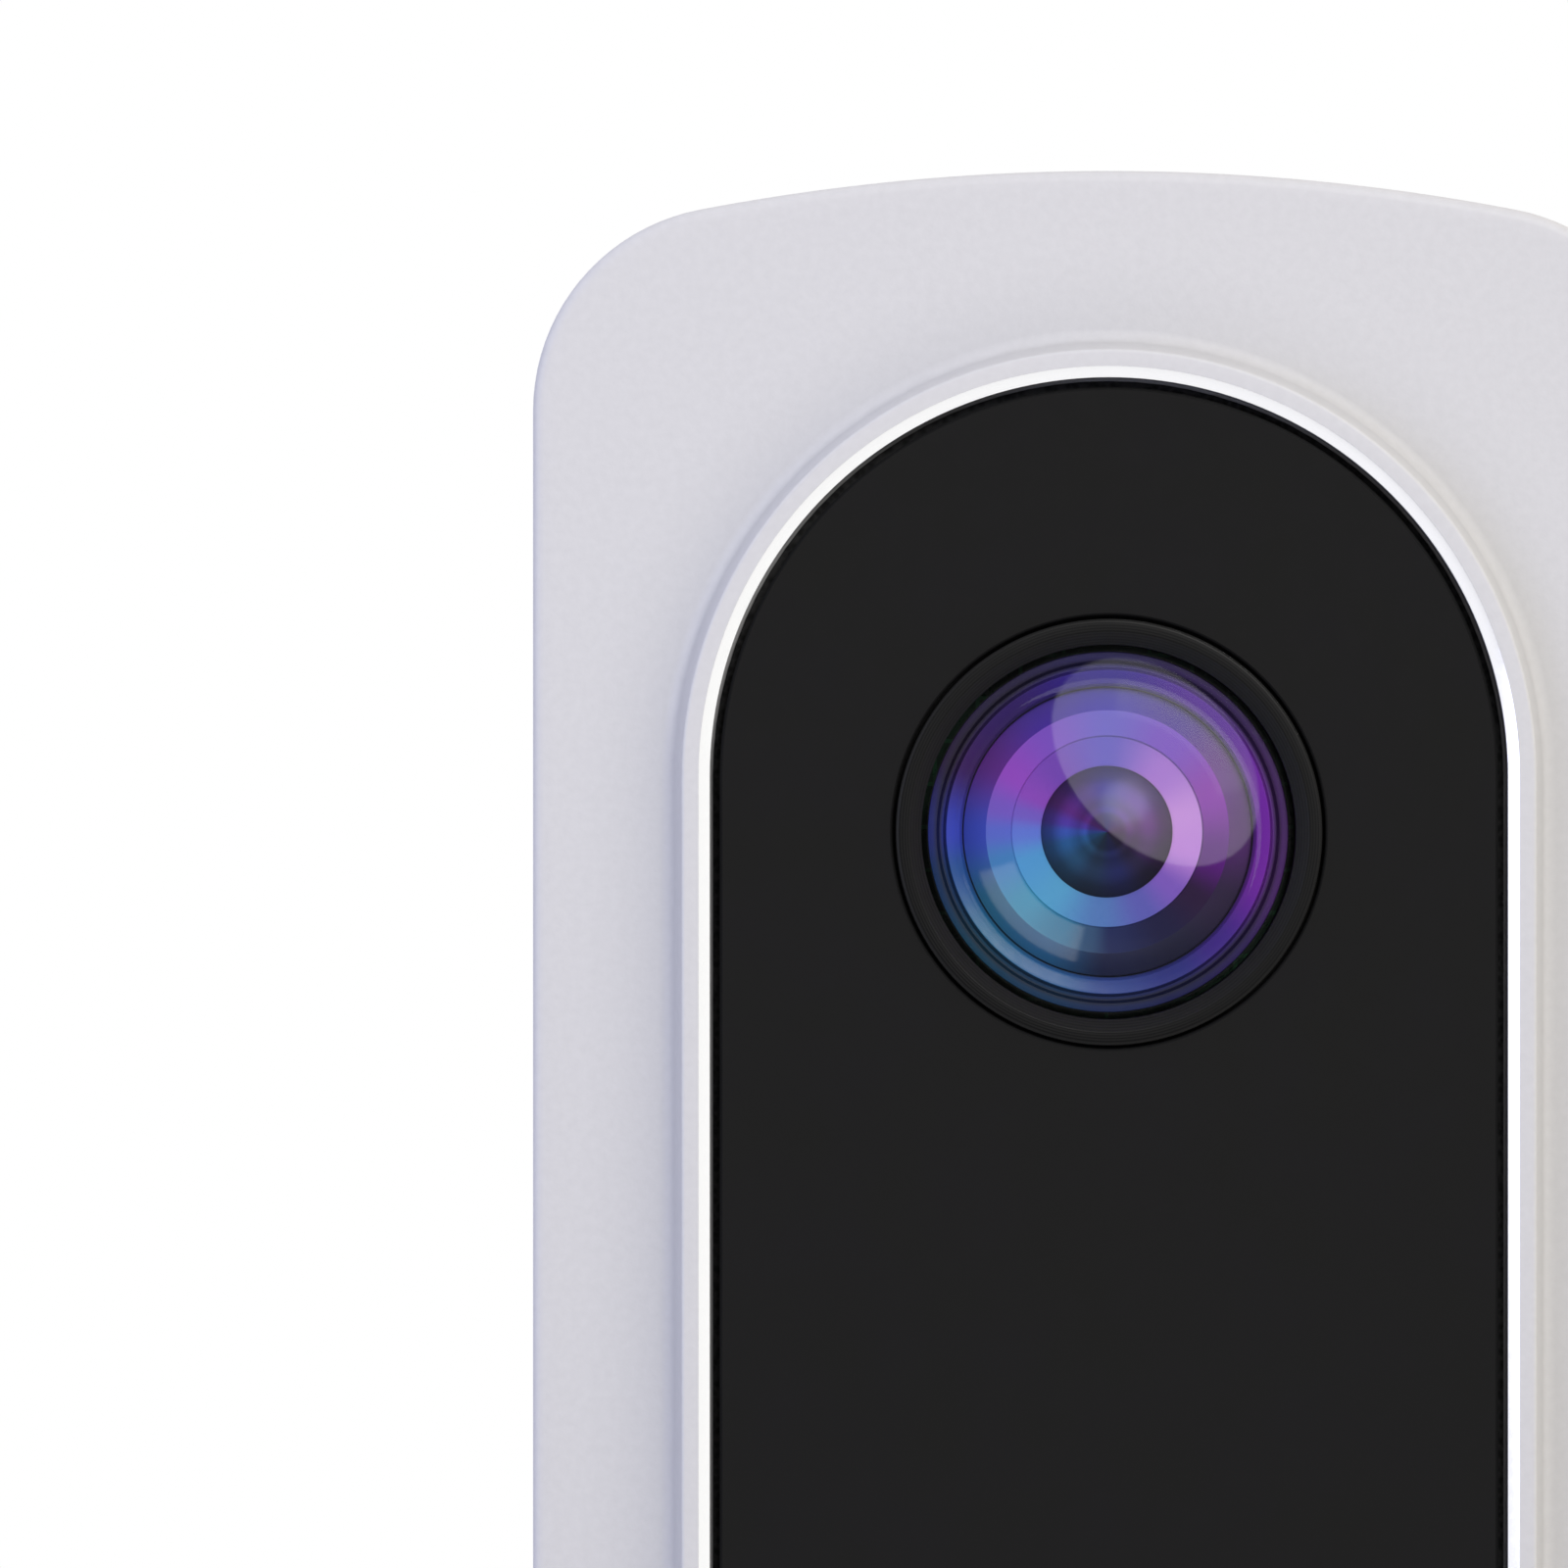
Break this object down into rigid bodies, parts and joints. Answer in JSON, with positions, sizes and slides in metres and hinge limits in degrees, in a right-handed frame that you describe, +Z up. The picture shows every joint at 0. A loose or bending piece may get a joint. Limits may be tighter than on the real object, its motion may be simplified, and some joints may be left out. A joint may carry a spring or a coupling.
{
  "type": "video doorbell",
  "caption": "Slim upright video doorbell: white arched housing with a raised rim round a black panel, domed camera lens above and a round bell button below, hung on a wall bracket.",
  "frame": {"origin": "middle of the two wall-screw holes, on the wall plane behind the bracket, at mid-width and mid-height", "axes": "+X to the right seen from the front, +Y into the wall (the lens and button face -Y), +Z up"},
  "size_m": [0.06, 0.0272, 0.136],
  "materials": {
    "white_plastic": "fine moulded texture, satin",
    "bracket_plastic": "moulded, matte",
    "panel_plastic": "polished",
    "trim_plastic": "satin",
    "button_plastic": "polished, dished",
    "sign_plastic": "inlaid",
    "light_guide": "translucent diffuser, unlit",
    "black_plastic": "matte",
    "coated_glass": "polished, violet and blue anti-reflection coating",
    "silicone": "matte",
    "foam": "soft foam",
    "steel": "satin",
    "terminal_brass": "bright",
    "circuit_board": "solder mask",
    "chip_resin": "matte resin",
    "clear_resin": "clear lamp resin",
    "flex_film": "amber film",
    "aluminium": "rolled",
    "label_film": "blank silver film",
    "cone_paper": "pressed"
  },
  "bodies": {
    "bracket": {"wall_bracket": "bracket_plastic"},
    "unit": {"aperture_ring": "black_plastic", "backup_battery": "aluminium", "battery_foam": "foam", "bell_switch": "black_plastic", "board_connector": "black_plastic", "board_screws": "steel", "button_board": "circuit_board", "button_seal": "silicone", "capacitors": "aluminium", "flex_cable": "flex_film", "front_lens": "coated_glass", "front_panel": "panel_plastic", "front_shell": "white_plastic", "heat_spreader": "aluminium", "housing_screws": "steel", "image_sensor": "chip_resin", "infrared_filter": "coated_glass", "lens_baffle": "black_plastic", "lens_barrel": "black_plastic", "lens_holder": "black_plastic", "lens_trim_ring": "trim_plastic", "light_ring": "light_guide", "light_sensor": "chip_resin", "main_board": "circuit_board", "memory_chip": "chip_resin", "microphone": "steel", "microphone_boot": "silicone", "night_lamps": "clear_resin", "night_light_board": "circuit_board", "panel_adhesive": "foam", "power_inductors": "chip_resin", "processor": "chip_resin", "radio_antenna": "flex_film", "radio_shield": "steel", "rating_label": "label_film", "rear_housing": "white_plastic", "ring_lamps": "clear_resin", "second_lens": "coated_glass", "setup_switch": "black_plastic", "shell_gasket": "silicone", "speaker_cone": "cone_paper", "speaker_frame": "black_plastic", "speaker_gasket": "foam", "speaker_magnet": "steel", "speaker_mesh": "steel", "terminal_block": "black_plastic", "terminal_screws": "terminal_brass", "thermal_pad": "foam", "third_lens": "coated_glass"},
    "lock_screw": {"security_screw": "steel"},
    "bell_button": {"button_cap": "button_plastic", "button_sign": "sign_plastic"},
    "switch_plunger": {"switch_plunger": "black_plastic"},
    "setup_button": {"setup_button": "white_plastic"}
  },
  "joints": [
    {"name": "unit_lift", "type": "slide", "parent": "bracket", "child": "unit", "axis": [0, 0, 1], "range_m": [0, 0.135]},
    {"name": "bell_press", "type": "slide", "parent": "unit", "child": "bell_button", "axis": [0, 1, 0], "range_m": [0, 0.0006], "stiffness_N_per_m": 1000},
    {"name": "switch_press", "type": "slide", "parent": "unit", "child": "switch_plunger", "axis": [0, 1, 0], "range_m": [0, 0.0006]},
    {"name": "setup_press", "type": "slide", "parent": "unit", "child": "setup_button", "axis": [-1, 0, 0], "range_m": [0, 0.0004], "stiffness_N_per_m": 500},
    {"name": "lock_screw_out", "type": "slide", "parent": "bracket", "child": "lock_screw", "axis": [0, 0, -1], "range_m": [0, 0.0052]}
  ],
  "couplings": [
    {"joint": "switch_press", "follows": "bell_press", "ratio": 1}
  ]
}
